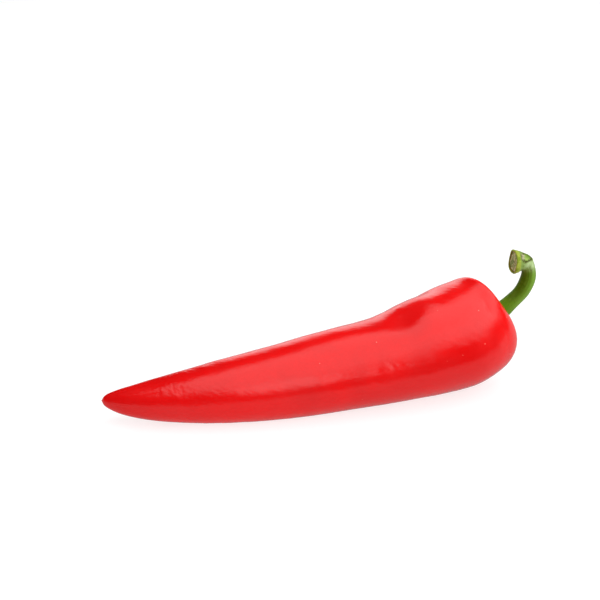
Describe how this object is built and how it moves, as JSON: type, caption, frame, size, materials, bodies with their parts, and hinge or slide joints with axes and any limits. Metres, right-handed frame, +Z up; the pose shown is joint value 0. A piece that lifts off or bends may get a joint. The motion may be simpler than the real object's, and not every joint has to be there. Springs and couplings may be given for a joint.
{
  "type": "chilli pepper",
  "caption": "Long tapering red pepper lying on its side, with a broad shoulder, a green calyx in its basin and a short hooked green stem.",
  "frame": {"origin": "bottom centre of the whole pepper's box, on the surface it rests on", "axes": "+X from the tip to the stem end along the pod, +Z up, +Y to the far side"},
  "size_m": [0.199, 0.0512, 0.0568],
  "materials": {
    "pod_skin": null,
    "calyx_green": "Matt green calyx, paler at its veins and browner at its margin.",
    "stem_green": "Satin green stem with fine ridges along it, and a dry tan and olive cut end."
  },
  "bodies": {
    "root": {"pod": "pod_skin", "calyx": "calyx_green", "stem": "stem_green"}
  },
  "joints": []
}
